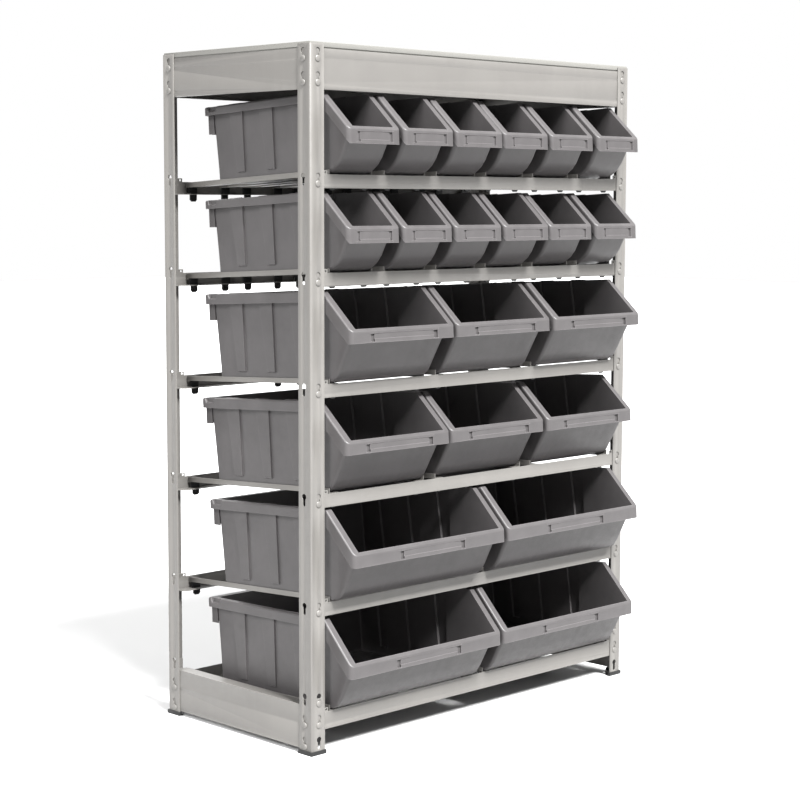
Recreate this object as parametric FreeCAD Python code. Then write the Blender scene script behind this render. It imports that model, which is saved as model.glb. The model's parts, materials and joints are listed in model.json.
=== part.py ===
import FreeCAD, Part
import math
import os

# Boltless steel bin rack with open-front picking bins that pull forward on sloping rails.
# Units mm, +Z up, +X to the right and -Y to the front of the rack.

# ---- driving dimensions -------------------------------------------------
W = 1001.0            # outside width over the posts
D = 474.0             # outside depth over the posts
LEG = 37.3            # leg of the post angle
TP = 1.8              # post sheet
TB = 1.5              # beam sheet
TR = 1.5              # rail sheet
POST_R = 3.0          # outside bend radius of the post
POST_Z = (3.0, 1446.0)
PANEL_Z = (1437.0, 1450.0)
PANEL_GAP = 0.4       # board to the post legs
PANEL_STEP = (2.0, 2.5)   # rebate along the lower edge: in, up
TOP_BEAM_Z = (1356.0, 1437.0)
LEDGE = 27.0          # inward ledge of every beam
LEDGE_ENDS = (8.0, 24.0)  # end of the ledge: inset at the web, length of the chamfer
FLANGE_ENDS = (5.0, 30.0)
HEM, HEM_ENDS = 8.0, (8.0, 9.0)
END_GAP = 4.0         # beam end to outside of the post
KEY_IN = 21.0         # keyhole centre line from the post corner
KEY_R, SLOT_R, KEY_DROP = 6.3, 3.9, 15.5
STUD_R = 3.4
STUD_HEAD = (4.6, 6.8, 1.1, 1.0)   # top radius, rim radius, dome height, rim height
STUD_TAIL = (4.8, 0.8)             # radius, height
CAP_OUT, CAP_H, CAP_WEB = 2.3, 8.6, 7.0

# shelf tiers from the top: beam top, bin size, bins across, rear beam drop
TIERS = [
    (1188.0, "small", 6, 12.5),
    (990.0, "small", 6, 12.5),
    (765.0, "medium", 3, 12.5),
    (540.0, "medium", 3, 12.5),
    (315.0, "large", 2, 12.5),
    (87.0, "large", 2, 0.0),
]
# how far the lip of each bin stands out from the front of the posts, left to right
LIP_AT = [
    [-71.5, -74.5, -72.0, -67.0, -67.0, -73.0],
    [-71.0, -72.5, -71.5, -71.0, -66.0, -71.0],
    [-80.5, -79.0, -84.5],
    [-68.0, -63.0, -66.0],
    [-89.0, -89.0],
    [-77.0, -75.5],
]
SHELF_BEAM_H = 27.5
BASE_BEAM_H = 37.0
BASE_END_TOP = 118.0
BASE_SIDE_Z = (11.0, 103.0)
KEYS_BASE = (31.5, 77.0, 122.5)
KEYS_TOP = (1384.5, 1432.0)
KEY_BELOW_BEAM = 3.5
EAR_X, EAR_UP = 48.0, 8.0          # lug beside the post: outer end, height over the beam
EAR_HOLE = (42.6, 4.0, 2.4)        # hole in the lug: X, height over the beam, radius

# bin rails: seat above the front beam, seat below the rear beam, guide and leg sizes
SEAT_FRONT, SEAT_REAR = 1.0, -10.6
RAIL_Y = (4.2, 468.0)
GUIDE_OFF, SEAT_W, GUIDE_UP = 18.5, 24.0, 9.5
CLIP_Y = (11.0, 459.0)
CLIP_T, CLIP_DOWN, CLIP_CORNER = 3.5, 32.0, 4.0
TONGUE_OFF = (24.0, 42.0)
SLOT_PLAY = 0.5       # slot in the ledge round the foot
RUN_GAP = 0.4         # bin floor above the rail seat
SIDE_GAP = 1.0        # bin side to the guide

# bins: GAP between neighbours, H height, DEP depth, LO/HI bottom and top of the lip,
# S1 end of the sloping mouth, BAND/DBAND rim band level and along the slope,
# RB/RT rear wall at the floor and the rim, LABEL groove start, width, depth and foot,
# WALL side view of the front wall from under the lip to the floor
BINS = {
    "small": dict(GAP=8.4, H=163.5, DEP=452.0, LO=55.6, HI=85.0, S1=79.0,
                  BAND=18.0, DBAND=19.0, RB=425.5, RT=436.0, LABEL=(41.0, 7.0, 3.0, 5.5),
                  WALL=[(30.0, 44.0), (37.5, 31.0), (47.0, 20.0),
                        (59.0, 11.0), (73.0, 4.5), (92.0, 0.0)]),
    "medium": dict(GAP=8.8, H=187.5, DEP=463.0, LO=80.0, HI=104.0, S1=84.5,
                   BAND=22.0, DBAND=25.0, RB=432.0, RT=446.0, LABEL=(85.3, 11.0, 4.0, 3.0),
                    WALL=[(61.0, 17.0), (68.0, 8.5), (78.0, 2.5), (92.0, 0.0)]),
    "large": dict(GAP=10.0, H=189.8, DEP=462.0, LO=76.0, HI=101.0, S1=81.0,
                  BAND=20.0, DBAND=24.0, RB=433.0, RT=445.0, LABEL=(85.3, 11.0, 4.0, 3.0),
                  WALL=[(49.5, 24.0), (56.0, 14.0), (64.0, 7.0), (74.0, 2.2), (88.0, 0.0)]),
}
WALL_T = 2.5
LIP_WALL = 5.0        # front wall behind the lip
TUB_CORNER = 6.0      # radius between the front wall and the side walls
VOID_UP = 30.0        # how far the cutter for the inside reaches over the rim
BITE = 1.0            # overlap of pieces that are moulded as one
TINY = 1e-4
RIM_W = 15.5
RIM_T = 2.5
RIM_CORNER, RIM_EDGE = 10.0, 4.0   # radii of the rim: in plan, along its top
BAND_TURN = (4.0, 11.0)            # where the foot of the lip turns up into the side band
RIB_D = 4.0
RIB_FROM_REAR = (118.0, 214.0, 310.0)
RIB_TOP_W, RIB_LOW_W, RIB_LOW_Z = 45.0, 26.0, 20.0
RIB_TAPER = (1.6, 3.4)  # draft of a rib: outer face, inner face
LABEL_D = 0.8
LABEL_SHELF, LABEL_TOP = 6.5, 6.0  # ledge under the label, margin over it
GROOVE_BACK = 1.5     # wall behind a groove
HOOK_DOWN, HOOK_IN, HOOK_T = 57.0, 15.0, 3.0
NOTCH = (40.0, 14.0, 8.4, 9.0)     # stacking notch: from and to before the rear, across, down


# ---- small helpers ------------------------------------------------------
def box(x0, x1, y0, y1, z0, z1):
    return Part.makeBox(x1 - x0, y1 - y0, z1 - z0, FreeCAD.Vector(x0, y0, z0))


def face_of(points):
    wire = Part.makePolygon(points + [points[0]])
    return Part.Face(wire)


def prism_x(yz, x0, x1):
    face = face_of([FreeCAD.Vector(x0, y, z) for y, z in yz])
    return face.extrude(FreeCAD.Vector(x1 - x0, 0, 0))


def prism_y(xz, y0, y1):
    face = face_of([FreeCAD.Vector(x, y0, z) for x, z in xz])
    return face.extrude(FreeCAD.Vector(0, y1 - y0, 0))


def prism_z(xy, z0, z1):
    face = face_of([FreeCAD.Vector(x, y, z0) for x, y in xy])
    return face.extrude(FreeCAD.Vector(0, 0, z1 - z0))


def fuse_all(shapes):
    out = shapes[0]
    for s in shapes[1:]:
        out = out.fuse(s)
    return out.removeSplitter()


def offset_line(points, dist):
    """Parallel copy of an open polyline, moved to the left of its direction."""
    segs = []
    for (x0, y0), (x1, y1) in zip(points, points[1:]):
        ln = math.hypot(x1 - x0, y1 - y0)
        nx, ny = -(y1 - y0) / ln * dist, (x1 - x0) / ln * dist
        segs.append(((x0 + nx, y0 + ny), (x1 + nx, y1 + ny)))
    out = [segs[0][0]]
    for (a, b), (c, d) in zip(segs, segs[1:]):
        den = (b[0] - a[0]) * (d[1] - c[1]) - (b[1] - a[1]) * (d[0] - c[0])
        if abs(den) < 1e-9:
            out.append(b)
            continue
        t = ((c[0] - a[0]) * (d[1] - c[1]) - (c[1] - a[1]) * (d[0] - c[0])) / den
        out.append((a[0] + t * (b[0] - a[0]), a[1] + t * (b[1] - a[1])))
    out.append(segs[-1][1])
    return out


def mirror_x(shape, about):
    return shape.mirror(FreeCAD.Vector(about, 0, 0), FreeCAD.Vector(1, 0, 0))


def mirror_y(shape, about):
    return shape.mirror(FreeCAD.Vector(0, about, 0), FreeCAD.Vector(0, 1, 0))


# ---- where everything sits ----------------------------------------------
def tilt_of(tier):
    drop = tier[3] + SEAT_FRONT - SEAT_REAR
    return math.atan2(drop, CLIP_Y[1])


def front_of_rack():
    """Foremost Y of the whole rack, at the lower edge of the foremost lip."""
    out = []
    for tier, lips in zip(TIERS, LIP_AT):
        t, b = tilt_of(tier), BINS[tier[1]]
        out.append(min(lips) * math.cos(t) + (b["LO"] + RUN_GAP) * math.sin(t))
    return min(out)


Y_MID = (front_of_rack() + D + CAP_OUT) / 2.0


def pitch_of(n):
    """Width taken by each of n bins between the posts."""
    return (W - 2 * LEG) / n


def save(shape, node):
    moved = shape.copy()
    moved.translate(FreeCAD.Vector(-W / 2.0, -Y_MID, 0))
    moved.exportStep("parts/" + node + ".step")
    print(node, len(moved.Solids), len(moved.Faces), moved.isValid())


# ---- posts, caps and rivets ---------------------------------------------
def key_heights():
    mids = [t[0] - KEY_BELOW_BEAM for t in TIERS[:-1]]
    return list(KEYS_BASE) + mids + list(KEYS_TOP)


def keyhole_cutter(x, z):
    """Keyhole through the front leg: a round hole with a narrower slot below it."""
    ring = Part.makeCylinder(KEY_R, 8, FreeCAD.Vector(x, -3, z), FreeCAD.Vector(0, 1, 0))
    low = z - KEY_DROP
    slot = box(x - SLOT_R, x + SLOT_R, -3, 5, low, z)
    foot = Part.makeCylinder(SLOT_R, 8, FreeCAD.Vector(x, -3, low), FreeCAD.Vector(0, 1, 0))
    return ring.fuse([slot, foot])


def swap_xy(shape):
    """Mirror about the X = Y plane, which turns front-leg features into side-leg ones."""
    return shape.mirror(FreeCAD.Vector(0, 0, 0), FreeCAD.Vector(1, -1, 0))


def angle_section(z0, z1, leg, t, r_out):
    """Equal angle with its outside corner at the origin."""
    outer = box(0, leg, 0, leg, z0, z1)
    edge = [e for e in outer.Edges
            if abs(e.Vertexes[0].X) + abs(e.Vertexes[0].Y) < 1e-6
            and abs(e.Vertexes[-1].X) + abs(e.Vertexes[-1].Y) < 1e-6]
    outer = outer.makeFillet(r_out, edge)
    inner = box(t, leg + 5, t, leg + 5, z0 - 1, z1 + 1)
    edge = [e for e in inner.Edges
            if abs(e.Vertexes[0].X - t) + abs(e.Vertexes[0].Y - t) < 1e-6
            and abs(e.Vertexes[-1].X - t) + abs(e.Vertexes[-1].Y - t) < 1e-6]
    inner = inner.makeFillet(max(r_out - t, 0.6), edge)
    return outer.cut(inner)


def make_post():
    post = angle_section(POST_Z[0], POST_Z[1], LEG, TP, POST_R)
    front = [keyhole_cutter(KEY_IN, z) for z in key_heights()]
    return post.cut(front + [swap_xy(c) for c in front])


def make_cap():
    """Push-on foot: a thick sole under the angle and a low wall around it."""
    o, e = CAP_OUT, LEG + CAP_OUT
    sole = prism_z([(-o, -o), (e, -o), (e, CAP_WEB), (CAP_WEB, e), (-o, e)], 0, POST_Z[0])
    ell = prism_z([(-o, -o), (e, -o), (e, TP + o), (TP + o, TP + o), (TP + o, e), (-o, e)],
                  POST_Z[0], CAP_H)
    body = fuse_all([sole, ell])
    pocket = angle_section(POST_Z[0], CAP_H + 1, LEG, TP, POST_R)
    return body.cut(pocket)


def corner_set(shape):
    """The same piece at the four corners: front left, front right, rear left, rear right."""
    fr = mirror_x(shape, W / 2.0)
    return [shape, fr, mirror_y(shape, D / 2.0), mirror_y(fr, D / 2.0)]


def make_rivet(x, z):
    """Stud in the front leg of the front left post, head outside, tail inside the beam."""
    way = FreeCAD.Vector(0, 1, 0)
    r_top, r_rim, dome, flat = STUD_HEAD
    r_tail, tail = STUD_TAIL
    parts = [
        Part.makeCylinder(r_rim, flat, FreeCAD.Vector(x, -flat, z), way),
        Part.makeCylinder(STUD_R, TP + TB + 0.1, FreeCAD.Vector(x, -0.1, z), way),
        Part.makeCylinder(r_tail, tail, FreeCAD.Vector(x, TP + TB, z), way),
    ]
    head = Part.makeCone(r_top, r_rim, dome, FreeCAD.Vector(x, -flat - dome, z), way)
    return head.fuse(parts).removeSplitter()


def studs_of(keys):
    """A stud hangs at the foot of each keyhole."""
    return [z - KEY_DROP for z in keys]


def shelf_stud(tier):
    return tier[0] - KEY_BELOW_BEAM - KEY_DROP


def rivet_z_front():
    """Stud heights on the front and rear faces of a post."""
    return studs_of(KEYS_BASE[1:]) + [shelf_stud(t) for t in TIERS[:-1]] + studs_of(KEYS_TOP)


def rivet_z_side():
    return studs_of(KEYS_BASE[:2]) + studs_of(KEYS_TOP)


def make_rivets():
    one = [make_rivet(KEY_IN, z) for z in rivet_z_front()]
    one += [swap_xy(make_rivet(KEY_IN, z)) for z in rivet_z_side()]
    out = []
    for r in one:
        out += corner_set(r)
    return Part.makeCompound(out)


# ---- beams --------------------------------------------------------------
def stud_hole(x, z):
    return Part.makeCylinder(STUD_R, 12, FreeCAD.Vector(x, -3, z), FreeCAD.Vector(0, 1, 0))


def pierce(beam, zs, length=W):
    cuts = []
    for z in zs:
        cuts += [stud_hole(KEY_IN, z), stud_hole(length - KEY_IN, z)]
    return beam.cut(cuts)


def ledge_plate(z0, length, back, ends):
    """Flat inward flange with chamfered ends, from the web back."""
    inset, nose = ends
    x0, x1, y0 = inset, length - inset, TP
    pts = [(x0, y0), (x1, y0), (x1 - nose, y0 + back + TB), (x0 + nose, y0 + back + TB)]
    return prism_z(pts, z0, z0 + TB)


def web_plate(length, z0, z1):
    return box(END_GAP, length - END_GAP, TP, TP + TB, z0, z1)


def make_ear(z_top):
    """Lug at the left end of a shelf beam, standing up beside the post."""
    ear = box(END_GAP, EAR_X, TP, TP + TB, z_top - BITE, z_top + EAR_UP)
    x, up, r = EAR_HOLE
    way = FreeCAD.Vector(0, 1, 0)
    return ear.cut(Part.makeCylinder(r, 12, FreeCAD.Vector(x, -3, z_top + up), way))


def cross_beam(z_top, height):
    """Web, inward ledge along its foot and a lug at each end."""
    ear = make_ear(z_top)
    ledge = ledge_plate(z_top - height, W, LEDGE, LEDGE_ENDS)
    return fuse_all([web_plate(W, z_top - height, z_top), ledge, ear, mirror_x(ear, W / 2.0)])


def top_beam(length):
    """Deep top beam, a flange along its upper edge and a hem along its lower one."""
    z0, z1 = TOP_BEAM_Z
    flange = ledge_plate(z1 - TB, length, LEDGE, FLANGE_ENDS)
    hem = ledge_plate(z0, length, HEM, HEM_ENDS)
    beam = fuse_all([web_plate(length, z0, z1), flange, hem])
    return pierce(beam, studs_of(KEYS_TOP), length)


def base_side_beam():
    z0, z1 = BASE_SIDE_Z
    flange = ledge_plate(z1 - TB, D, LEDGE, FLANGE_ENDS)
    beam = fuse_all([web_plate(D, z0, z1), flange])
    return swap_xy(pierce(beam, studs_of(KEYS_BASE[:2]), D))


def slot_cutters(n, z, y):
    """Slots in a ledge that take the tongues of the rail feet."""
    out = []
    for x, side in rail_places(n):
        a, b = sorted([x + side * (TONGUE_OFF[0] - SLOT_PLAY), x + side * (TONGUE_OFF[1] + SLOT_PLAY)])
        out.append(box(a, b, y - SLOT_PLAY, y + CLIP_T + SLOT_PLAY, z - 1, z + TB + 1))
    return out


def shelf_beam_front(tier):
    z_top = tier[0]
    beam = cross_beam(z_top, SHELF_BEAM_H)
    beam = beam.cut(slot_cutters(tier[2], z_top - SHELF_BEAM_H, CLIP_Y[0]))
    return pierce(beam, [shelf_stud(tier)])


def shelf_beam_rear(tier):
    """Like the front beam but lower, on studs at the same height as the front ones."""
    z_top = tier[0] - tier[3]
    beam = pierce(cross_beam(z_top, SHELF_BEAM_H), [shelf_stud(tier)])
    beam = mirror_y(beam, D / 2.0)
    return beam.cut(slot_cutters(tier[2], z_top - SHELF_BEAM_H, CLIP_Y[1]))


def base_beam(rear):
    """Bottom cross beam with taller end plates behind the posts."""
    z_top = TIERS[-1][0]
    end = box(END_GAP, LEG, TP, TP + TB, z_top - BITE, BASE_END_TOP)
    beam = fuse_all([cross_beam(z_top, BASE_BEAM_H), end, mirror_x(end, W / 2.0)])
    beam = pierce(beam, studs_of(KEYS_BASE[1:]))
    y = CLIP_Y[0]
    if rear:
        beam = mirror_y(beam, D / 2.0)
        y = CLIP_Y[1]
    return beam.cut(slot_cutters(TIERS[-1][2], z_top - BASE_BEAM_H, y))


def top_panel():
    """Worktop board with a rebated lower edge, set between the post legs."""
    g = TP + PANEL_GAP
    inset, up = PANEL_STEP
    z0, z1 = PANEL_Z
    low = box(g + inset, W - g - inset, g + inset, D - g - inset, z0, z0 + up)
    high = box(g, W - g, g, D - g, z0 + up, z1)
    return fuse_all([low, high])


# ---- bin rails ----------------------------------------------------------
def rail_places(n):
    """X of the bin boundary and side of each rail: one each side of every boundary."""
    out = []
    for k in range(n + 1):
        x = LEG + k * pitch_of(n)
        if k > 0:
            out.append((x, -1))
        if k < n:
            out.append((x, 1))
    return out


def seat_z(tier, y):
    return tier[0] + SEAT_FRONT - y * math.tan(tilt_of(tier))


def rail_strip(tier, x_range, z_range):
    """Bar that follows the slope of the seat, from and to heights over the seat."""
    y0, y1 = RAIL_Y
    za, zb = seat_z(tier, y0), seat_z(tier, y1)
    lo, hi = z_range
    u, v = sorted(x_range)
    return prism_x([(y0, za + lo), (y1, zb + lo), (y1, zb + hi), (y0, za + hi)], u, v)


def make_rail(tier, x, side):
    """One bin rail: a sloping seat with an upright guide on its outer edge."""
    edge = x + side * (GUIDE_OFF - TR)
    seat = rail_strip(tier, (edge, x + side * (GUIDE_OFF + SEAT_W)), (-TR, 0))
    guide = rail_strip(tier, (edge, x + side * GUIDE_OFF), (-TR, GUIDE_UP))
    return fuse_all([seat, guide])


def make_clip(tier, x, side, y0, z_ledge):
    """Moulded rail foot: a shoulder on the beam ledge and a tongue down through its slot."""
    y1 = y0 + CLIP_T
    za, zb = seat_z(tier, y0) - TR, seat_z(tier, y1) - TR
    u, v = sorted([x + side * (GUIDE_OFF + 1.0), x + side * (GUIDE_OFF + SEAT_W)])
    block = prism_x([(y0, z_ledge), (y1, z_ledge), (y1, zb), (y0, za)], u, v)
    u, v = sorted([x + side * TONGUE_OFF[0], x + side * TONGUE_OFF[1]])
    z0, c, top = za + TR - CLIP_DOWN, CLIP_CORNER, z_ledge + BITE
    tongue = prism_y([(u + c, z0), (v - c, z0), (v, z0 + c), (v, top), (u, top), (u, z0 + c)], y0, y1)
    return fuse_all([block, tongue])


def make_rails(tier):
    return Part.makeCompound([make_rail(tier, x, s) for x, s in rail_places(tier[2])])


def make_clips(tier):
    h = BASE_BEAM_H if tier is TIERS[-1] else SHELF_BEAM_H
    front, rear = tier[0] - h + TB, tier[0] - tier[3] - h + TB
    places = rail_places(tier[2])
    feet = [make_clip(tier, x, s, CLIP_Y[0], front) for x, s in places]
    feet += [make_clip(tier, x, s, CLIP_Y[1], rear) for x, s in places]
    return Part.makeCompound(feet)


# ---- bins ---------------------------------------------------------------
def mouth_slope(b):
    return math.atan2(b["H"] - b["HI"], b["S1"])


def top_line(b, s):
    """Height of the rim at distance s behind the lip."""
    return b["HI"] + min(s, b["S1"]) * math.tan(mouth_slope(b))


def rim_outline(b):
    """Side view of the rim band: up the lip, over the top, down and back along its foot."""
    slope = mouth_slope(b)
    drop = b["DBAND"] / math.cos(slope)
    level = b["H"] - b["BAND"]
    meet = b["S1"] + (drop - b["BAND"]) / math.tan(slope)
    return [(0, b["LO"]), (0, b["HI"]), (b["S1"], b["H"]),
            (b["DEP"], b["H"]), (b["DEP"], level), (meet, level),
            (BAND_TURN[1], top_line(b, BAND_TURN[1]) - drop), (BAND_TURN[0], b["LO"])]


def upright_corners(shape, b, half):
    """Upright edges of the rim block at the lip and at the rear."""
    out = []
    for e in shape.Edges:
        p, q = e.Vertexes[0].Point, e.Vertexes[-1].Point
        upright = math.hypot(p.x - q.x, p.y - q.y) < TINY and abs(abs(p.x) - half) < TINY
        if upright and (abs(p.y) < TINY or abs(p.y - b["DEP"]) < TINY):
            out.append(e)
    return out


def crown_edges(shape, b):
    """Outer edges of the top of the rim, without the creases that cross it."""
    out = []
    for e in shape.Edges:
        ends = [v.Point for v in e.Vertexes]
        on_top = all(abs(p.z - top_line(b, p.y)) < TINY for p in ends)
        across = abs(ends[0].y - ends[-1].y) < TINY
        crease = across and 0.5 < ends[0].y < b["S1"] + 1.0
        if on_top and not crease:
            out.append(e)
    return out


def make_rim(b, half):
    """Turned-down rim all round, sloping down to the lip across the front."""
    block = prism_x(rim_outline(b), -half, half)
    block = block.makeFillet(RIM_CORNER, upright_corners(block, b, half))
    block = block.makeFillet(RIM_EDGE, crown_edges(block, b))
    t, slope = RIM_T, mouth_slope(b)
    kink = b["S1"] + t * math.tan(slope / 2.0)
    low = top_line(b, t) - t / math.cos(slope)
    under = [(t, 0), (t, low), (kink, b["H"] - t), (b["DEP"] - t, b["H"] - t), (b["DEP"] - t, 0)]
    return block.cut(prism_x(under, -(half - t), half - t)).fuse(groove_backs(b))


def groove_places(b):
    """X range of the label groove at each end of the lip."""
    start, width, _, _ = b["LABEL"]
    return [(start, start + width), (-start - width, -start)]


def groove_backs(b):
    """Thickening behind each label groove."""
    depth = b["LABEL"][2] + GROOVE_BACK
    return [box(x0 - GROOVE_BACK, x1 + GROOVE_BACK, BITE, depth, b["LO"], b["HI"] - BITE)
            for x0, x1 in groove_places(b)]


def label_cuts(b):
    """Shallow label pocket on the lip with a deeper groove at each end."""
    n, _, depth, foot = b["LABEL"]
    top = b["HI"] - LABEL_TOP
    out = [box(-n, n, -1, LABEL_D, b["LO"] + LABEL_SHELF, top)]
    return out + [box(x0, x1, -1, depth, b["LO"] + foot, top) for x0, x1 in groove_places(b)]


def half_at(b, z, grow=0.0):
    """Half width of the tub at height z."""
    return b["A0"] + (b["A1"] - b["A0"]) * z / b["H"] + grow


def taper(b, grow, z0, z1):
    """Front view of the tub between two heights."""
    lo, hi = half_at(b, z0, grow), half_at(b, z1, grow)
    return prism_y([(-lo, z0), (lo, z0), (hi, z1), (-hi, z1)], -5, b["DEP"] + 5)


def wall_line(b):
    """Outside of the tub in side view: down the front, along the floor, up the rear."""
    top = (LIP_WALL, top_line(b, LIP_WALL) - BITE)
    return [top] + b["WALL"] + [(b["RB"], 0.0), (b["RT"], b["H"] - BITE)]


def front_edges(shape, b, grow, z_limit):
    """Edges where the front wall meets the side walls."""
    foot = b["WALL"][-1][0] + WALL_T
    out = []
    for e in shape.Edges:
        ends = [v.Point for v in e.Vertexes]
        at_side = all(abs(abs(p.x) - half_at(b, p.z, grow)) < 0.01 for p in ends)
        in_front = max(p.y for p in ends) < foot and min(p.z for p in ends) < z_limit
        if at_side and in_front and abs(ends[0].x - ends[-1].x) < 2 * RIM_W:
            out.append(e)
    return out


def make_tub(b, half):
    """Solid tub under the rim, its front corners rounded."""
    line = wall_line(b) + [(b["S1"] + BITE, b["H"] - BITE)]
    tub = prism_x(line, -half, half).common(taper(b, 0.0, -1, b["H"]))
    return tub.makeFillet(TUB_CORNER, front_edges(tub, b, 0.0, b["HI"]))


def make_void(b, half):
    """Inside of the tub, running up through the rim."""
    inner = offset_line(wall_line(b), WALL_T)
    up = b["H"] + VOID_UP
    line = [(inner[0][0] - 0.4, up)] + inner + [(inner[-1][0] + 1.5, up)]
    void = prism_x(line, -half, half).common(taper(b, -WALL_T, -1, b["H"] + VOID_UP))
    return void.makeFillet(TUB_CORNER - WALL_T, front_edges(void, b, -WALL_T, b["H"]))


def rib_loft(b, edge, top, x_in, x_out, inset_in, inset_out):
    """Tapered pad on the side wall, from offset x_in to x_out of the wall face."""
    def ring(dx, ins):
        pts = [(edge + ins, RIB_LOW_Z + ins), (edge + RIB_LOW_W - ins, RIB_LOW_Z + ins),
               (edge + RIB_TOP_W - ins, top), (edge + ins, top)]
        vec = [FreeCAD.Vector(half_at(b, z, dx), y, z) for y, z in pts]
        return Part.makePolygon(vec + [vec[0]])

    return Part.makeLoft([ring(x_in, inset_in), ring(x_out, inset_out)], True, True)


def make_ribs(b):
    """Outward pads of the side ribs and their recesses, which run up through the rim."""
    outer, inner = RIB_TAPER
    pads, cuts = [], []
    for r in RIB_FROM_REAR:
        edge = b["DEP"] - r
        pads.append(rib_loft(b, edge, b["H"] - BITE, -BITE, RIB_D, 0.0, outer))
        cuts.append(rib_loft(b, edge, b["H"] + BITE, -WALL_T - BITE, RIB_D - WALL_T, outer, inner))
    pads += [mirror_x(p, 0) for p in pads]
    cuts += [mirror_x(c, 0) for c in cuts]
    return pads, cuts


def make_hook(b, half):
    """Rear hanging flange with a gusset at each end."""
    x = half - HOOK_IN
    z0, z1 = b["H"] - HOOK_DOWN, b["H"] - BITE
    plate = box(-x, x, b["DEP"] - HOOK_T, b["DEP"], z0, z1)
    lean = (b["RT"] - b["RB"]) / b["H"]
    low, high = b["RB"] + lean * z0 - BITE, b["RB"] + lean * z1 - BITE
    side = [(low, z0), (b["DEP"] - 1, z0), (b["DEP"] - 1, z1), (high, z1)]
    return [plate, prism_x(side, -x, -x + WALL_T), prism_x(side, x - WALL_T, x)]


def rim_notches(b, half):
    """Stacking notches in both side rims near the rear."""
    start, end, across, down = NOTCH
    out = []
    for s in (-1, 1):
        x0, x1 = sorted([s * (half - across), s * (half + 2)])
        out.append(box(x0, x1, b["DEP"] - start, b["DEP"] - end, b["H"] - down, b["H"] + 2))
    return out


def make_bin(kind, n):
    """One bin in its own frame: X across, Y from the lip back, Z up from the floor."""
    b = BINS[kind]
    pitch = pitch_of(n)
    half = (pitch - b["GAP"]) / 2.0
    b["A0"] = pitch / 2.0 - GUIDE_OFF - SIDE_GAP
    b["A1"] = half - RIM_W + WALL_T
    pads, cuts = make_ribs(b)
    body = make_tub(b, half).fuse([make_rim(b, half)] + pads + make_hook(b, half))
    cuts += [make_void(b, half)] + rim_notches(b, half) + label_cuts(b)
    return body.cut(cuts).removeSplitter()


def place_bin(shape, tier, k, lip):
    """Set a bin down on its sloping rails, its lip at the given distance from the posts."""
    out = shape.copy()
    out.translate(FreeCAD.Vector(0, lip, RUN_GAP))
    out.rotate(FreeCAD.Vector(0, 0, 0), FreeCAD.Vector(1, 0, 0), -math.degrees(tilt_of(tier)))
    out.translate(FreeCAD.Vector(LEG + (k + 0.5) * pitch_of(tier[2]), 0, tier[0] + SEAT_FRONT))
    return out


# ---- build --------------------------------------------------------------
def build_frame():
    posts = corner_set(make_post())
    for name, p in zip(("front_left", "front_right", "rear_left", "rear_right"), posts):
        save(p, "post_" + name)
    save(Part.makeCompound(corner_set(make_cap())), "foot_caps")
    save(make_rivets(), "beam_rivets")
    front = top_beam(W)
    save(front, "top_beam_front")
    save(mirror_y(front, D / 2.0), "top_beam_rear")
    side = swap_xy(top_beam(D))
    save(side, "top_beam_left")
    save(mirror_x(side, W / 2.0), "top_beam_right")
    save(top_panel(), "top_panel")
    low = base_side_beam()
    save(low, "base_beam_left")
    save(mirror_x(low, W / 2.0), "base_beam_right")
    save(base_beam(False), "base_beam_front")
    save(base_beam(True), "base_beam_rear")


def build_shelves():
    for i, tier in enumerate(TIERS, 1):
        if i < len(TIERS):
            save(shelf_beam_front(tier), "shelf_beam_front_%d" % i)
            save(shelf_beam_rear(tier), "shelf_beam_rear_%d" % i)
        save(make_rails(tier), "bin_rails_%d" % i)
        save(make_clips(tier), "rail_feet_%d" % i)


def build_bins():
    shapes = {}
    for i, tier in enumerate(TIERS, 1):
        kind = tier[1]
        if kind not in shapes:
            shapes[kind] = make_bin(kind, tier[2])
        for k, lip in enumerate(LIP_AT[i - 1]):
            save(place_bin(shapes[kind], tier, k, lip), "bin_%d_%d" % (i, k + 1))


os.makedirs("parts", exist_ok=True)
build_frame()
build_shelves()
build_bins()
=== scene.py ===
import json
import math

import bmesh
import bpy
from mathutils import Matrix, Vector


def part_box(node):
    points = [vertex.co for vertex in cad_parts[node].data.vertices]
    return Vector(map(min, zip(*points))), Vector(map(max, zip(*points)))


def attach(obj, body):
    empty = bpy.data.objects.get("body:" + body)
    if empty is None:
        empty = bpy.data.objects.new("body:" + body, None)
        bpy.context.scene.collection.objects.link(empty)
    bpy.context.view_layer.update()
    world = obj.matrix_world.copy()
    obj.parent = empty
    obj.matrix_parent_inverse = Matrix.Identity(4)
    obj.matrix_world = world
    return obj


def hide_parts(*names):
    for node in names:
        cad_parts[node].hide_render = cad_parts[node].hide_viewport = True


MM = 0.001

# ---- materials ----------------------------------------------------------


def new_material(name, color, roughness):
    mat = bpy.data.materials.new(name)
    mat.use_nodes = True
    bsdf = mat.node_tree.nodes["Principled BSDF"]
    bsdf.inputs["Base Color"].default_value = (*color, 1.0)
    bsdf.inputs["Roughness"].default_value = roughness
    return mat, mat.node_tree, bsdf


def noise(tree, scale, detail=4.0, stretch=(1, 1, 1), rough=0.6):
    """Noise in object space, stretched along an axis when asked."""
    coord = tree.nodes.new("ShaderNodeTexCoord")
    mapping = tree.nodes.new("ShaderNodeMapping")
    mapping.inputs["Scale"].default_value = stretch
    tex = tree.nodes.new("ShaderNodeTexNoise")
    tex.inputs["Scale"].default_value = scale
    tex.inputs["Detail"].default_value = detail
    tex.inputs["Roughness"].default_value = rough
    tree.links.new(coord.outputs["Object"], mapping.inputs["Vector"])
    tree.links.new(mapping.outputs["Vector"], tex.inputs["Vector"])
    return tex.outputs["Fac"]


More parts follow.
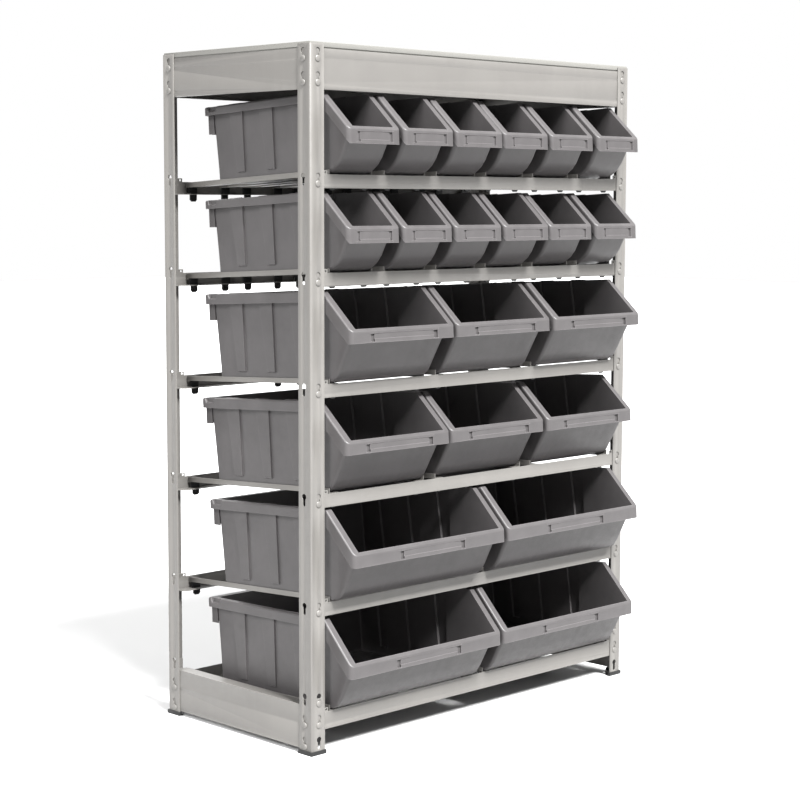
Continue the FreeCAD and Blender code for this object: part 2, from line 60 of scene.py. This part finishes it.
def remap(tree, value, source, target):
    """Maps the range source onto the range target."""
    node = tree.nodes.new("ShaderNodeMapRange")
    node.inputs["From Min"].default_value, node.inputs["From Max"].default_value = source
    node.inputs["To Min"].default_value, node.inputs["To Max"].default_value = target
    tree.links.new(value, node.inputs["Value"])
    return node.outputs["Result"]


def shade(color, gain):
    """A colour made lighter or darker."""
    return tuple(min(c * gain, 1.0) for c in color)


def mix_color(tree, fac, a, b):
    node = tree.nodes.new("ShaderNodeMix")
    node.data_type = "RGBA"
    for socket, value in ((node.inputs["A"], a), (node.inputs["B"], b)):
        if isinstance(value, tuple):
            socket.default_value = (*value, 1.0)
        else:
            tree.links.new(value, socket)
    tree.links.new(fac, node.inputs["Factor"])
    return node.outputs["Result"]


def edge_mask(tree, width, gain):
    """1 near sharp edges, 0 on flats: the bevelled normal against the true one."""
    bevel = tree.nodes.new("ShaderNodeBevel")
    bevel.samples = 4
    bevel.inputs["Radius"].default_value = width
    geo = tree.nodes.new("ShaderNodeNewGeometry")
    dot = tree.nodes.new("ShaderNodeVectorMath")
    dot.operation = "DOT_PRODUCT"
    tree.links.new(bevel.outputs["Normal"], dot.inputs[0])
    tree.links.new(geo.outputs["Normal"], dot.inputs[1])
    return remap(tree, dot.outputs["Value"], (1.0, 1.0 - gain), (0.0, 1.0))


def bump(tree, bsdf, height, strength, distance, below=None):
    node = tree.nodes.new("ShaderNodeBump")
    node.inputs["Strength"].default_value = strength
    node.inputs["Distance"].default_value = distance
    tree.links.new(height, node.inputs["Height"])
    if below is not None:
        tree.links.new(below, node.inputs["Normal"])
    tree.links.new(node.outputs["Normal"], bsdf.inputs["Normal"])
    return node.outputs["Normal"]


def painted_steel(name, color, wear_color):
    """Powder coat: faint cloudy tone, orange peel, paler rubbed edges."""
    mat, tree, bsdf = new_material(name, color, 0.42)
    cloud = remap(tree, noise(tree, 9.0, 3.0), (0.35, 0.65), (0.0, 1.0))
    base = mix_color(tree, cloud, shade(color, 0.93), color)
    streak = remap(tree, noise(tree, 6.0, 5.0, (14, 14, 1)), (0.52, 0.72), (0.0, 0.35))
    base = mix_color(tree, streak, base, shade(color, 1.06))
    wear_and_painted_highlight = edge_mask(tree, 0.0012, 0.25)
    tree.links.new(mix_color(tree, wear_and_painted_highlight, base, wear_color), bsdf.inputs["Base Color"])
    rough = remap(tree, noise(tree, 40.0, 4.0), (0.3, 0.7), (0.36, 0.5))
    tree.links.new(rough, bsdf.inputs["Roughness"])
    peel = bump(tree, bsdf, noise(tree, 900.0, 2.0), 0.12, 0.0004)
    bump(tree, bsdf, noise(tree, 18.0, 2.0), 0.05, 0.002, peel)
    return mat


def moulded_plastic(name, color, roughness, grain=0.25):
    """Injection moulded polypropylene: fine grain, flow clouds, and rounded edges paled into a painted highlight.
    """
    mat, tree, bsdf = new_material(name, color, roughness)
    cloud = remap(tree, noise(tree, 14.0, 4.0), (0.3, 0.7), (0.0, 1.0))
    base = mix_color(tree, cloud, shade(color, 0.88), shade(color, 1.08))
    scuff = remap(tree, noise(tree, 30.0, 6.0, (1, 1, 5), 0.75), (0.62, 0.75), (0.0, 0.25))
    base = mix_color(tree, scuff, base, shade(color, 1.5))
    # Painted highlight: the rounded edges are paled towards 2.6 times the plastic's colour, in place of the light
    # that glints off them.
    wear_and_painted_highlight = edge_mask(tree, 0.0022, 0.6)
    tree.links.new(mix_color(tree, wear_and_painted_highlight, base, shade(color, 2.6)), bsdf.inputs["Base Color"])
    rough = remap(tree, noise(tree, 60.0, 4.0), (0.3, 0.7), (roughness - 0.06, roughness + 0.08))
    tree.links.new(rough, bsdf.inputs["Roughness"])
    bump(tree, bsdf, noise(tree, 1400.0, 2.0), grain, 0.0003)
    bsdf.inputs["Specular IOR Level"].default_value = 0.3
    return mat


def faced_board(name, color):
    """Off-white faced fibreboard with a faint fibre tone."""
    mat, tree, bsdf = new_material(name, color, 0.55)
    fibre = remap(tree, noise(tree, 60.0, 6.0, (1, 6, 6)), (0.35, 0.65), (0.0, 1.0))
    base = mix_color(tree, fibre, shade(color, 0.94), color)
    tree.links.new(base, bsdf.inputs["Base Color"])
    bump(tree, bsdf, noise(tree, 700.0, 3.0), 0.15, 0.0003)
    return mat


# ---- frame --------------------------------------------------------------
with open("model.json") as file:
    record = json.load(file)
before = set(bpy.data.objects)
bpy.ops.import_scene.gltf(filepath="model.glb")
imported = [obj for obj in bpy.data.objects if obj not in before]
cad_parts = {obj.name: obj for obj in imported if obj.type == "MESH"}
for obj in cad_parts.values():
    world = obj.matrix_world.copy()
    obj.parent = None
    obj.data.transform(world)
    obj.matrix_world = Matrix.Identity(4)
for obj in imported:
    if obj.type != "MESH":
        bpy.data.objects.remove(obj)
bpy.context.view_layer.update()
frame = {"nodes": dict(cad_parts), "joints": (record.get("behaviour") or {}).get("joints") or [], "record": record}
nodes = frame["nodes"]

STEEL = (0.088, 0.084, 0.0785)
STEEL_EDGE = (0.135, 0.130, 0.122)
PLASTIC = (0.041, 0.0384, 0.0388)
rack_mat = painted_steel("rack_powder_coat", STEEL, STEEL_EDGE)
stud_mat = painted_steel("stud_powder_coat", STEEL, STEEL_EDGE)
rail_mat = painted_steel("rail_powder_coat", (0.085, 0.081, 0.075), STEEL_EDGE)
board_mat = faced_board("board_face", (0.105, 0.103, 0.095))
bin_mat = moulded_plastic("bin_polypropylene", PLASTIC, 0.42)
foot_mat = moulded_plastic("black_foot_plastic", (0.006, 0.006, 0.006), 0.5)

MATERIAL_OF_SLOT = {
    "rack_steel": rack_mat,
    "rail_steel": rail_mat,
    "panel_board": board_mat,
    "bin_plastic": bin_mat,
    "foot_plastic": foot_mat,
    "stud_steel": stud_mat,
}
slot_of = {s["node"]: s["material_slot"] for s in frame["record"]["subparts"]}
for name, obj in nodes.items():
    obj.data.materials.clear()
    obj.data.materials.append(MATERIAL_OF_SLOT[slot_of[name]])


def round_edges(obj, width, sharper_than):
    """Rounds the edges sharper than an angle in degrees."""
    bev = obj.modifiers.new("edges", "BEVEL")
    bev.width = width
    bev.segments = 2
    bev.limit_method = "ANGLE"
    bev.angle_limit = math.radians(sharper_than)
    bev.harden_normals = True


def soften(obj, width):
    """Joins split vertices, merges flat faces and rounds the sharp edges."""
    weld = obj.modifiers.new("weld", "WELD")
    weld.merge_threshold = 0.00001
    flat = obj.modifiers.new("flat", "DECIMATE")
    flat.decimate_type = "DISSOLVE"
    flat.angle_limit = math.radians(1.0)
    round_edges(obj, width, 35)
    obj.data.shade_smooth()


EDGE = {"rack_steel": 0.5 * MM, "rail_steel": 0.4 * MM, "panel_board": 0.8 * MM,
        "bin_plastic": 1.0 * MM, "foot_plastic": 0.6 * MM, "stud_steel": 0.3 * MM}
for name, obj in nodes.items():
    soften(obj, EDGE[slot_of[name]])

# ---- bins ---------------------------------------------------------------
# Every length below is in millimetres in the bin's own frame: x across, s back from the
# lip, z up from the floor. A point is (x, s, z).
# H height, DEP depth, LO and HI foot and top of the lip, S1 upper end of the sloping mouth,
# BAND and DBAND height of the rim band on the level rim and on the mouth, RB and RT rear wall
# at the floor and the rim, LABEL start, width, depth and foot of the label grooves, HALF and
# FLOOR half width at the rim and the floor, WALL front curve from under the lip to the floor.
KINDS = {
    "small": dict(H=163.5, DEP=452.0, LO=55.6, HI=85.0, S1=79.0, BAND=18.0, DBAND=19.0,
                  RB=425.5, RT=436.0, LABEL=(41.0, 7.0, 3.0, 5.5), HALF=73.0, FLOOR=57.7,
                  WALL=[(30.0, 44.0), (37.5, 31.0), (47.0, 20.0), (59.0, 11.0), (73.0, 4.5), (92.0, 0.0)]),
    "medium": dict(H=187.5, DEP=463.0, LO=80.0, HI=104.0, S1=84.5, BAND=22.0, DBAND=25.0,
                   RB=432.0, RT=446.0, LABEL=(85.3, 11.0, 4.0, 3.0), HALF=150.0, FLOOR=134.9,
                   WALL=[(61.0, 17.0), (68.0, 8.5), (78.0, 2.5), (92.0, 0.0)]),
    "large": dict(H=189.8, DEP=462.0, LO=76.0, HI=101.0, S1=81.0, BAND=20.0, DBAND=24.0,
                  RB=433.0, RT=445.0, LABEL=(85.3, 11.0, 4.0, 3.0), HALF=226.6, FLOOR=212.1,
                  WALL=[(49.5, 24.0), (56.0, 14.0), (64.0, 7.0), (74.0, 2.2), (88.0, 0.0)]),
}
WALL_T = 2.5
RIM_W = 15.5
RIM_R = 1.5             # rounding under the outer top edge of the rim
RIM_CORNER = 10.0
LIP_WALL = 5.0          # front wall behind the lip
CORNER_R = {"lip": 3.0, "front": 8.0, "floor": 4.0, "rear": 6.0}
HEEL_R = 9.0            # bend between floor and rear wall
RIB_D, RIB_DRAFT = 4.0, 1.6
RIB_FROM_REAR = (310.0, 214.0, 118.0)
RIB_TOP_W, RIB_LOW_W, RIB_LOW_Z = 45.0, 26.0, 20.0
STEP = 0.4              # width of a steep step in the moulding
NOTCH_AT, NOTCH_IN, NOTCH_DOWN, NOTCH_SLOPE = (42.0, 15.5), 8.4, 9.0, 4.0
HOOK_DOWN, HOOK_IN, HOOK_MID = 57.0, 15.0, 1.5
GUSSET_DOWN, GUSSET_BITE = 3.0, 1.0
LABEL_D, LABEL_SHELF, LABEL_TOP = 0.8, 6.5, 6.0
BIN_EDGE = 0.7 * MM
ARC = 5                 # faces round a corner
TURN = [math.pi / 2 * j / ARC for j in range(ARC + 1)]
BEND_FACES = 4          # faces round the heel, half of them counted with the floor
EDGE_FACES = 4          # faces round the outer top edge of the rim
BAND_FLAT, BAND_BLEND = 4.0, 11.0   # the band foot leaves the lip and joins the mouth's slope
GROOVE_ROOM = 2.5       # least room beside the outer label groove
LIP_GROW, FOOT_GROW, REAR_GROW = 25.0, 2.5, 0.5   # how fast the corner radius changes
TAIL_PARTS = 6.0        # columns between the last rib and the heel
TAIL_NEAR_REAR = ((16.0, 14.0), (9.0, 6.0))       # before the rear corner, before the notch end
REAR_GAP = 0.4
SLACK = 0.01            # for comparing positions
LOW_ROWS = [0.0, 0.03, 0.06]
HIGH_ROWS = [0.2, 0.35, 0.5, 0.65, 0.8, 0.92, 1.0]
RIB_FOOT_ROW = len(LOW_ROWS) + 1
LEAD = [0.0, 0.1, 0.25, 0.42, 0.6, 0.8, 1.0]      # columns between the front curve and the first rib
POCKET_COLUMNS, POCKET_ROWS = (0, 1, 2), (1, 2)
GROOVE_COLUMNS, GROOVE_ROWS = (3, 4), (1, 2, 3, 4)


def lerp(a, b, t):
    return tuple(p + (q - p) * t for p, q in zip(a, b))


def chaikin(points, rounds=3):
    """Corner cutting, which turns a polyline into a smooth curve with the same ends."""
    for _ in range(rounds):
        out = [points[0]]
        for a, b in zip(points, points[1:]):
            out += [lerp(a, b, 0.25), lerp(a, b, 0.75)]
        points = out + [points[-1]]
    return points


def at_fractions(points, fractions):
    """Points of a polyline at fractions of its length."""
    run = [0.0]
    for a, b in zip(points, points[1:]):
        run.append(run[-1] + math.dist(a, b))
    out = []
    for f in fractions:
        d = f * run[-1]
        k = max(i for i in range(len(run) - 1) if run[i] <= d + 1e-9)
        out.append(lerp(points[k], points[k + 1], (d - run[k]) / (run[k + 1] - run[k])))
    return out


def mouth_slope(b):
    return math.atan2(b["H"] - b["HI"], b["S1"])


def under_top(b, s):
    """Height of the underside of the rim at distance s behind the lip."""
    slope = mouth_slope(b)
    return min(b["HI"] + s * math.tan(slope) - WALL_T / math.cos(slope), b["H"] - WALL_T)


def slope_band_foot(b, s):
    """Lower edge of the rim band along the sloping mouth."""
    slope = mouth_slope(b)
    return b["HI"] + s * math.tan(slope) - b["DBAND"] / math.cos(slope)


def band_foot(b, s):
    """Lower edge of the rim band at distance s behind the lip."""
    if s <= BAND_FLAT:
        return b["LO"]
    if s < BAND_BLEND:
        rise = slope_band_foot(b, BAND_BLEND) - b["LO"]
        return b["LO"] + rise * (s - BAND_FLAT) / (BAND_BLEND - BAND_FLAT)
    return min(slope_band_foot(b, s), b["H"] - b["BAND"])


def half_at(b, z):
    """Half width of the tub at height z."""
    top = b["HALF"] - RIM_W + WALL_T
    return b["FLOOR"] + (top - b["FLOOR"]) * z / b["H"]


def notch_ends(b):
    """Front and rear end of the rim notch behind the lip."""
    return b["DEP"] - NOTCH_AT[0], b["DEP"] - NOTCH_AT[1]


def row_fractions(b):
    """Fractions of the wall height, with a pair at the foot of the ribs."""
    low = CORNER_R["floor"]
    marks = [(z - low) / (b["H"] - low) for z in (RIB_LOW_Z, RIB_LOW_Z + RIB_DRAFT)]
    return LOW_ROWS + marks + HIGH_ROWS


def side_columns(b):
    """Floor and rim distances of the side wall's columns, rib depth, and rim edge distance."""
    low, h = CORNER_R["floor"], b["H"]
    cols = []
    for r in RIB_FROM_REAR:
        e = b["DEP"] - r
        back = RIB_LOW_W - (RIB_TOP_W - RIB_LOW_W) * (RIB_LOW_Z - low) / (h - RIB_LOW_Z)
        cols += [(e, e, 0.0, e), (e + RIB_DRAFT, e + RIB_DRAFT, RIB_D, e + RIB_DRAFT)]
        cols += [(e + back - RIB_DRAFT, e + RIB_TOP_W - RIB_DRAFT, RIB_D, e + RIB_TOP_W - RIB_DRAFT),
                 (e + back, e + RIB_TOP_W, 0.0, e + RIB_TOP_W)]
    start, end = notch_ends(b)
    last = b["RT"] - CORNER_R["rear"]
    room = (b["RB"] - HEEL_R - cols[-1][0]) / TAIL_PARTS
    tail = [(start - NOTCH_SLOPE, start - NOTCH_SLOPE), (start, start)]
    tail += [(last - inner, end - outer) for inner, outer in TAIL_NEAR_REAR]
    for inner, outer in tail:
        cols.append((cols[-1][0] + room, inner, 0.0, outer))
    return cols


def heel_bend(b):
    """Rounded bend from the floor into the leaning rear wall."""
    turn = math.pi / 2 - math.atan2(b["RT"] - b["RB"], b["H"])
    start = b["RB"] - HEEL_R * math.tan(turn / 2)
    angles = [turn * k / BEND_FACES for k in range(BEND_FACES + 1)]
    return [(start + HEEL_R * math.sin(a), HEEL_R - HEEL_R * math.cos(a)) for a in angles]


def wall_profile(b):
    """Front curve, floor and rear wall as rows and columns, from the lip round to the rear rim."""
    fractions = row_fractions(b)
    curve = chaikin([(LIP_WALL, under_top(b, LIP_WALL))] + b["WALL"])
    front = at_fractions(curve[::-1], fractions)
    cols = side_columns(b)
    x0 = front[0][0]
    lead = [x0 + (cols[0][0] - x0) * t for t in LEAD[1:-1]]
    bend, middle = heel_bend(b), BEND_FACES // 2
    floor = [(s, 0.0) for s in lead + [c[0] for c in cols]] + bend[:middle + 1]
    low, top = LOW_ROWS[-1], (b["RT"], b["H"] - WALL_T)
    rear = bend[middle:] + [lerp(bend[-1], top, (f - low) / (1 - low)) for f in fractions[len(LOW_ROWS):]]
    return front, floor, rear


def inward(points, k):
    """Unit normal of an open polyline at point k, towards the inside of the tub."""
    a, c = points[max(k - 1, 0)], points[min(k + 1, len(points) - 1)]
    n = (-(c[1] - a[1]), c[0] - a[0])
    size = math.hypot(*n)
    return (n[0] / size, n[1] / size)


def add_grid(bm, rows):
    made = [[bm.verts.new([v * MM for v in p]) for p in row] for row in rows]
    for lower, upper in zip(made, made[1:]):
        for i in range(len(lower) - 1):
            bm.faces.new([lower[i], lower[i + 1], upper[i + 1], upper[i]])


def add_both(bm, rows):
    """A grid and its mirror image on the other side of the bin."""
    add_grid(bm, rows)
    add_grid(bm, flip_x(rows))


def flip_x(rows):
    return [[(-x, s, z) for x, s, z in row] for row in rows]


def across(b, last):
    """X positions over the width, from the middle out, with pairs at the label grooves."""
    n, w, _, _ = b["LABEL"]
    near, far = n - WALL_T, n + w + WALL_T
    marks = [0.0, near / 2, near, near + STEP, far - STEP, far]
    fit = min(1.0, (last - GROOVE_ROOM) / far)
    return [x * fit for x in marks] + [(far * fit + last) / 2, last]


def corner_radii(b, floor, rear):
    """Corner radius along the whole profile: sharp at the lip, large in front, small below."""
    lip, big, small, back = (CORNER_R[k] for k in ("lip", "front", "floor", "rear"))
    out = [min(small + (big - small) * min(1.0, f * FOOT_GROW), lip + (1.0 - f) * LIP_GROW)
           for f in reversed(row_fractions(b))]
    out += [small] * len(floor)
    last = len(rear) - 1
    return out + [small + (back - small) * min(1.0, i / (last * REAR_GROW)) for i in range(1, last + 1)]


def build_tub(b, bm):
    """Tub surface; returns its strip, corner arcs and right side wall as grids of points."""
    front, floor, rear = wall_profile(b)
    profile = front[::-1] + floor + rear[1:]
    radii = corner_radii(b, floor, rear)
    strip, arcs, inner = [], [], []
    for k, (s, z) in enumerate(profile):
        n, r = inward(profile, k), radii[k]
        if k == 0:
            n = (1.0, math.tan(mouth_slope(b)))
        side = (s + n[0] * r, z + n[1] * r)
        edge = half_at(b, z) - r
        reach = half_at(b, side[1]) - edge
        strip.append([(x, s, z) for x in across(b, edge)])
        arcs.append([(edge + reach * math.sin(a), s + n[0] * r * (1 - math.cos(a)),
                      z + n[1] * r * (1 - math.cos(a))) for a in TURN])
        inner.append(side)
    rows = len(front)
    wall = side_wall(b, inner[:rows][::-1], inner[rows - 1:rows + len(floor)],
                     inner[rows + len(floor) - 1:])
    for grid in (strip, arcs, wall):
        add_both(bm, grid)
    return strip, arcs, wall


def mouth_tops(b, front, first_rib):
    """Upper ends of the leading columns, one of them at the bend of the mouth."""
    tops = [front[-1][0] + (first_rib - front[-1][0]) * t for t in LEAD[:-1]]
    bend = b["S1"] + WALL_T * math.tan(mouth_slope(b) / 2)
    kink = min(range(1, len(tops)), key=lambda i: abs(tops[i] - bend))
    tops[kink] = bend
    return [(s, under_top(b, s)) for s in tops]


def lead_columns(b, front, floor, first, top):
    """Patch between the front curve and the first rib, blended from its four sides."""
    out = []
    for i, t in enumerate(LEAD[:-1]):
        col = []
        for j, f in enumerate(row_fractions(b)):
            along = lerp(front[j], first[j], t)
            up = lerp(floor[i], top[i], f)
            base = lerp(lerp(floor[0], first[0], t), lerp(front[-1], first[-1], t), f)
            col.append((along[0] + up[0] - base[0], along[1] + up[1] - base[1], 0.0))
        out.append(col)
    return out


def tail_columns(b, last, feet, rear):
    """Patch between the last straight column and the rear corner; its foot follows the heel."""
    out = []
    for i, foot in enumerate(feet, 1):
        t = i / len(feet)
        base = lerp(last[0], rear[0], t)
        col = []
        for j, f in enumerate(row_fractions(b)):
            along, fade = lerp(last[j], rear[j], t), 1.0 - f
            col.append((along[0] + (foot[0] - base[0]) * fade, along[1] + (foot[1] - base[1]) * fade, 0.0))
        out.append(col)
    return out


def side_wall(b, front, floor, rear):
    """Side wall patch as columns from front to rear, each from the floor up."""
    cols, lead, high = side_columns(b), len(LEAD) - 1, b["H"] - WALL_T
    lines = [[lerp(floor[lead + i], (c[1], high), f) for f in row_fractions(b)] for i, c in enumerate(cols)]
    out = lead_columns(b, front, floor, lines[0], mouth_tops(b, front, cols[0][1]))
    for c, line in zip(cols, lines):
        out.append([(s, z, c[2] if j >= RIB_FOOT_ROW else 0.0) for j, (s, z) in enumerate(line)])
    out += tail_columns(b, lines[-1], floor[lead + len(cols):], rear)
    return [[(half_at(b, z) + d, s, z) for s, z, d in col] for col in out]


def rim_front(b, strip, arcs):
    """Rim points along the lip and round the front corner."""
    half, r = b["HALF"] - WALL_T, RIM_CORNER - WALL_T
    loop = [(p, (p[0], WALL_T), (0.0, -1.0), False, b["LO"]) for p in strip[0][:-1]]
    loop.append((strip[0][-1], (half - r, WALL_T), (0.0, -1.0), False, b["LO"]))
    for j in range(1, ARC):
        q, c = math.sin(TURN[j]), math.cos(TURN[j])
        s = RIM_CORNER - r * c
        loop.append((arcs[0][j], (half - r + r * q, s), (q, -c), False, band_foot(b, s)))
    return loop


def rim_side(b, wall):
    """Rim points along the side, marked where the stacking notch is."""
    start, end = notch_ends(b)
    loop = []
    for col, s in zip(wall, side_outers(b, wall)):
        notched = start - SLACK < s < end + SLACK
        loop.append((col[-1], (b["HALF"] - WALL_T, s), (1.0, 0.0), notched, band_foot(b, s)))
    return loop


def rim_rear(b, strip, arcs):
    """Rim points round the rear corner and along the hanging flange to the middle."""
    half, dep, r = b["HALF"] - WALL_T, b["DEP"] - WALL_T, RIM_CORNER - WALL_T
    low, hook = b["H"] - b["BAND"], b["H"] - HOOK_DOWN
    loop = []
    for j in range(ARC - 1, 0, -1):
        q, c = math.sin(TURN[j]), math.cos(TURN[j])
        loop.append((arcs[-1][j], (half - r + r * q, dep - r + r * c), (q, c), False, low))
    rears = strip[-1]
    n = len(rears) - 1
    hook_x = b["HALF"] - HOOK_IN
    ends = {n: half - r, n - 1: hook_x, n - 2: hook_x - STEP}
    for i in range(n, -1, -1):
        x = ends.get(i, rears[i][0])
        loop.append((rears[i], (x, dep), (0.0, 1.0), False, hook if i <= n - 2 else low))
    return loop


def rim_loop(b, strip, arcs, wall):
    """Half of the rim, mid front to mid rear: inner point, outer point, outward way, notched, foot."""
    return rim_front(b, strip, arcs) + rim_side(b, wall) + rim_rear(b, strip, arcs)


def side_outers(b, wall):
    """Distance behind the lip of each side column at the outer edge of the rim."""
    cols = side_columns(b)
    lead = len(LEAD) - 1
    out = [RIM_CORNER] + [col[-1][1] for col in wall[1:lead]]
    out += [c[3] for c in cols]
    end = notch_ends(b)[1]
    return out + [end, end + NOTCH_SLOPE, b["DEP"] - RIM_CORNER - REAR_GAP]


def edge_turn(b, way, s):
    """Angle the rim has already turned where it meets its rounded outer edge."""
    in_mouth = s < b["S1"]
    return math.atan(max(-way[1], 0.0) * math.tan(mouth_slope(b))) if in_mouth else 0.0


def arc_centre(b, way, s):
    """Height of the centre of the rounded outer edge of the rim."""
    turn = edge_turn(b, way, s)
    return under_top(b, s) - RIM_R * (1 - math.sin(turn)) / math.cos(turn)


def band_levels(b):
    """Fractions down the rim band, with pairs at the edges of the label pocket and its grooves."""
    top = arc_centre(b, (0.0, -1.0), WALL_T)
    foot, high, low = b["LO"], b["HI"] - LABEL_TOP + WALL_T, b["LO"] + b["LABEL"][3] - WALL_T
    zs = [high + STEP, high, foot + LABEL_SHELF + STEP, foot + LABEL_SHELF, low + STEP, low, foot]
    return [(top - z) / (top - foot) for z in zs]


def pushed(outer, way, out):
    """The outer edge point moved outwards by a distance."""
    return (outer[0] + way[0] * out, outer[1] + way[1] * out)


def flange_points(b, inner, outer, way, sink):
    """Flange from the mouth outwards, with a step down at the notches."""
    width = math.dist(inner[:2], outer)
    ring = [inner]
    for side, most, drop in ((STEP / 2, 0.8, 0.0), (-STEP / 2, 0.6, sink)):
        d = min(NOTCH_IN - WALL_T + side, width * most)
        x, s = lerp(outer, inner, d / width) if way[1] < 0 else pushed(outer, way, -d)
        ring.append((x, s, under_top(b, s) - drop))
    return ring


def edge_points(outer, way, turn, centre):
    """Rounded outer top edge between the flange and the band."""
    out = []
    for k in range(EDGE_FACES + 1):
        a = turn + (math.pi / 2 - turn) * k / EDGE_FACES
        out.append((*pushed(outer, way, RIM_R * math.sin(a) - RIM_R), centre + RIM_R * math.cos(a)))
    return out


def band_points(b, i, outer, way, centre, foot):
    """Band from the rounded edge to its foot, sunk at the label pocket and its grooves."""
    out = []
    for k, f in enumerate(band_levels(b)):
        recess = 0.0
        if i in POCKET_COLUMNS and k in POCKET_ROWS:
            recess = LABEL_D
        if i in GROOVE_COLUMNS and k in GROOVE_ROWS:
            recess = b["LABEL"][2]
        out.append((*pushed(outer, way, -recess), centre - f * (centre - foot)))
    return out


def build_rim(b, bm, loop):
    """Flange, rounded edge and turned-down band along the half loop."""
    grid = []
    for i, (inner, outer, way, notched, foot) in enumerate(loop):
        sink = NOTCH_DOWN if notched else 0.0
        turn = edge_turn(b, way, outer[1])
        centre = arc_centre(b, way, outer[1]) - sink
        ring = flange_points(b, inner, outer, way, sink) + edge_points(outer, way, turn, centre)
        grid.append(ring + band_points(b, i, outer, way, centre, foot))
    add_both(bm, grid)


def build_gussets(b, bm):
    """Web between the rear wall and the hanging flange, at each end of the flange."""
    x = b["HALF"] - HOOK_IN
    z0, z1 = b["H"] - HOOK_DOWN, b["H"] - GUSSET_DOWN
    back = b["DEP"] - HOOK_MID
    wall = [b["RB"] + (b["RT"] - b["RB"]) * z / b["H"] - GUSSET_BITE for z in (z0, z1)]
    add_both(bm, [[(x, wall[0], z0), (x, back, z0)], [(x, wall[1], z1), (x, back, z1)]])


def slide_axis(name):
    return next(j["axis"] for j in frame["joints"] if j["name"] == name + "_slide")


def bin_mesh(kind):
    """Inner and under surface of one kind of bin; its wall thickness is added by dress."""
    b = KINDS[kind]
    bm = bmesh.new()
    strip, arcs, wall = build_tub(b, bm)
    build_rim(b, bm, rim_loop(b, strip, arcs, wall))
    bmesh.ops.remove_doubles(bm, verts=bm.verts, dist=0.00002)
    bmesh.ops.recalc_face_normals(bm, faces=bm.faces)
    lowest = min(bm.faces, key=lambda f: f.calc_center_median().z)
    if lowest.normal.z > 0:
        bmesh.ops.reverse_faces(bm, faces=bm.faces)
    build_gussets(b, bm)
    mesh = bpy.data.meshes.new("bin_" + kind)
    bm.to_mesh(mesh)
    bm.free()
    mesh.shade_smooth()
    mesh.materials.append(bin_mat)
    return mesh


def dress(obj):
    """Wall thickness and softened edges."""
    solid = obj.modifiers.new("wall", "SOLIDIFY")
    solid.thickness = WALL_T * MM
    solid.offset = -1.0
    solid.use_even_offset = True
    round_edges(obj, BIN_EDGE, 40)


def is_bin(name):
    return name.startswith("bin_") and name.count("_") == 2 and name[4].isdigit()


def kind_of(width):
    """The kind of bin whose rim width is nearest."""
    return min(KINDS, key=lambda kind: abs(2 * KINDS[kind]["HALF"] - width))


def place_bins():
    """One shell in place of each CAD bin; bins of one kind and tilt share a mesh."""
    meshes = {}
    for name in sorted(n for n in nodes if is_bin(n)):
        low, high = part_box(name)
        kind = kind_of((high[0] - low[0]) / MM)
        axis = slide_axis(name)
        tilt = math.atan2(axis[2], -axis[1])
        y = low[1] - KINDS[kind]["LO"] * MM * math.sin(tilt)
        z = low[2] + KINDS[kind]["RB"] * MM * math.sin(tilt)
        key = (kind, round(tilt, 4))
        if key not in meshes:
            meshes[key] = bin_mesh(kind)
            meshes[key].transform(Matrix.Rotation(-tilt, 4, "X"))
        obj = bpy.data.objects.new(name + "_shell", meshes[key])
        bpy.context.collection.objects.link(obj)
        obj.location = ((low[0] + high[0]) / 2, y, z)
        dress(obj)
        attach(obj, name + "_unit")
        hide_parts(name)


place_bins()

# ---- floor, light, camera -----------------------------------------------
bpy.ops.mesh.primitive_plane_add(size=40, location=(0, 0, 0))
floor = bpy.context.object
floor.name = "floor"
floor.data.materials.append(new_material("pale_floor", (0.36, 0.36, 0.36), 0.9)[0])

world = bpy.data.worlds.new("soft_studio")
bpy.context.scene.world = world
world.use_nodes = True
world.node_tree.nodes["Background"].inputs["Color"].default_value = (1, 1, 1, 1)
world.node_tree.nodes["Background"].inputs["Strength"].default_value = 1.0


def sun(name, azimuth, elevation, strength, spread):
    """Wide soft light from a compass direction: azimuth 0 is in front of the rack, 90 its right."""
    data = bpy.data.lights.new(name, "SUN")
    data.energy = strength
    data.angle = math.radians(spread)
    obj = bpy.data.objects.new(name, data)
    bpy.context.collection.objects.link(obj)
    az, el = math.radians(azimuth), math.radians(elevation)
    towards = Vector((math.sin(az) * math.cos(el), -math.cos(az) * math.cos(el), math.sin(el)))
    obj.rotation_euler = towards.to_track_quat("Z", "Y").to_euler()


sun("key", -8, 50, 20.0, 16)
sun("side", -80, 36, 5.0, 24)
sun("rear", 150, 45, 2.2, 60)

SENSOR = 36.0
FOCAL_OVER_SENSOR = 2.38
FROM_POST, EYE_HEIGHT = (-2.551, -2.838), 1.132   # metres, from the front left post
YAW, PITCH, ROLL = math.radians(44.65), math.radians(5.92), math.radians(0.14)
post_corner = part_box("post_front_left")[0]
CAMERA_AT = Vector((post_corner[0] + FROM_POST[0], post_corner[1] + FROM_POST[1], EYE_HEIGHT))
forward = Vector((math.sin(YAW) * math.cos(PITCH), math.cos(YAW) * math.cos(PITCH), -math.sin(PITCH)))
camera = bpy.data.objects.new("camera", bpy.data.cameras.new("camera"))
bpy.context.collection.objects.link(camera)
camera.location = CAMERA_AT
turn = forward.to_track_quat("-Z", "Y").to_matrix().to_4x4()
camera.matrix_world = Matrix.Translation(CAMERA_AT) @ turn @ Matrix.Rotation(ROLL, 4, "Z")
camera.data.sensor_width = SENSOR
camera.data.lens = FOCAL_OVER_SENSOR * SENSOR
camera.data.clip_end = 100
bpy.context.scene.camera = camera
bpy.context.scene.view_settings.view_transform = "Standard"
